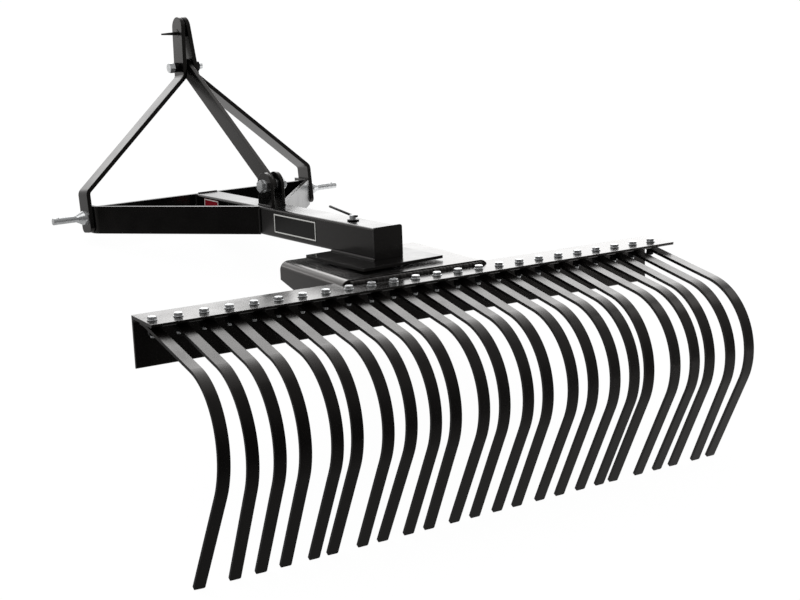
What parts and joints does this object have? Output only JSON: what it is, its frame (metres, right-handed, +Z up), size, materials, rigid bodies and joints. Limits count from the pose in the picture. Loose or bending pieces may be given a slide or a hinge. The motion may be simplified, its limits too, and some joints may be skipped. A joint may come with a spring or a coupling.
{
  "type": "landscape rake",
  "caption": "Three-point-hitch landscape rake: curved spring tines on an angle bar that swivels under a square boom with a strap yoke and a braced mast.",
  "frame": {"origin": "centre of the base of the overall box, on the floor that the rake rests on", "axes": "+Z up from the floor, +Y forward towards the tractor, +X to the rake's right"},
  "size_m": [1.2698, 1.5637, 0.4747],
  "materials": {
    "black_paint": "gloss",
    "black_oxide": "satin",
    "zinc_plate": "satin"
  },
  "bodies": {
    "hitch": {"boom_tube": "black_paint", "boom_end_plate": "black_paint", "turntable_plate": "black_paint", "kingpin": "zinc_plate", "lock_pin": "zinc_plate", "side_strap_left": "black_paint", "side_strap_right": "black_paint", "cross_strap": "black_paint", "mast_bar_left": "black_paint", "mast_bar_right": "black_paint", "mast_brace": "black_paint", "brace_lug_left": "black_paint", "brace_lug_right": "black_paint", "brace_bolt": "zinc_plate", "mast_bolt": "black_oxide", "top_link_pin": "black_oxide", "lower_pin_left": "zinc_plate", "lower_pin_right": "zinc_plate"},
    "rake_head": {"swivel_channel": "black_paint", "tine_bar": "black_paint", "tine_01": "black_paint", "tine_02": "black_paint", "tine_03": "black_paint", "tine_04": "black_paint", "tine_05": "black_paint", "tine_06": "black_paint", "tine_07": "black_paint", "tine_08": "black_paint", "tine_09": "black_paint", "tine_10": "black_paint", "tine_11": "black_paint", "tine_12": "black_paint", "tine_13": "black_paint", "tine_14": "black_paint", "tine_15": "black_paint", "tine_16": "black_paint", "tine_17": "black_paint", "tine_18": "black_paint", "tine_19": "black_paint", "tine_20": "black_paint", "tine_21": "black_paint", "tine_22": "black_paint", "tine_23": "black_paint", "tine_24": "black_paint"}
  },
  "joints": [
    {"name": "head_swivel", "type": "hinge", "parent": "hitch", "child": "rake_head", "pos_m": [0.01805, -0.17987, 0.27457], "axis": [0.0336, 0.3554, 0.9341], "range_deg": [-45, 45]}
  ]
}
